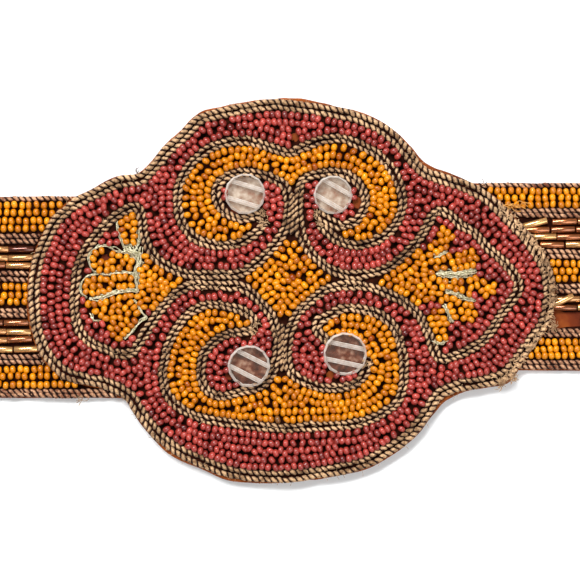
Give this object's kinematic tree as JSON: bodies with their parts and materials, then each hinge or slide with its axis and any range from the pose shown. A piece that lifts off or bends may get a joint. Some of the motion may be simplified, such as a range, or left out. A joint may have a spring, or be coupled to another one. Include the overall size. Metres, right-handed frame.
{
  "type": "beaded belt",
  "caption": "Leather belt with a lobed front panel of beaded scrolls, sewn-down twisted cords and flat cut glass stones, striped beaded bands and a plain hook clasp.",
  "frame": {"origin": "middle of the belt's length and of the panel's height, on the surface that the strap's underside rests on", "axes": "+X along the belt towards the eye half of the clasp, +Y towards the panel's upper lobe, +Z out of the beaded face"},
  "size_m": [0.72, 0.1102, 0.0064],
  "materials": {
    "leather": "brown tanned leather, smooth face, raw cut edge",
    "red_beads": "opaque brick red glass seed beads, glossy",
    "yellow_beads": "opaque egg-yolk yellow glass seed beads, glossy",
    "copper_bugles": "copper lined glass bugle beads, glossy",
    "twisted_cord": "two-ply cord, a tan ply twisted with a black ply, matt",
    "clear_glass": "flat cut glass with a ground rim and two ground thread channels",
    "clasp_metal": "plain nickel plated sheet, lightly brushed"
  },
  "bodies": {
    "root": {"strap_leather": "leather", "panel_backing": "leather", "left_cord_1": "twisted_cord", "left_cord_2": "twisted_cord", "left_cord_3": "twisted_cord", "left_cord_4": "twisted_cord", "left_cord_5": "twisted_cord", "left_cord_6": "twisted_cord", "right_cord_1": "twisted_cord", "right_cord_2": "twisted_cord", "right_cord_3": "twisted_cord", "right_cord_4": "twisted_cord", "right_cord_5": "twisted_cord", "right_cord_6": "twisted_cord", "left_seed_beads_1": "yellow_beads", "left_seed_beads_2": "yellow_beads", "left_seed_beads_3": "yellow_beads", "right_seed_beads_1": "yellow_beads", "right_seed_beads_2": "yellow_beads", "right_seed_beads_3": "yellow_beads", "left_bugle_beads_1": "copper_bugles", "left_bugle_beads_2": "copper_bugles", "right_bugle_beads_1": "copper_bugles", "right_bugle_beads_2": "copper_bugles", "border_cord": "twisted_cord", "left_side_cord": "twisted_cord", "right_side_cord": "twisted_cord", "upper_scroll_cord": "twisted_cord", "lower_scroll_cord": "twisted_cord", "red_ground_beads": "red_beads", "yellow_upper_scroll_beads": "yellow_beads", "yellow_lower_scroll_beads": "yellow_beads", "yellow_diamond_beads": "yellow_beads", "left_fan_beads": "yellow_beads", "right_fan_beads": "yellow_beads", "stone_upper_left": "clear_glass", "stone_upper_right": "clear_glass", "stone_lower_left": "clear_glass", "stone_lower_right": "clear_glass", "clasp_hook": "clasp_metal", "clasp_eye": "clasp_metal"}
  },
  "joints": []
}
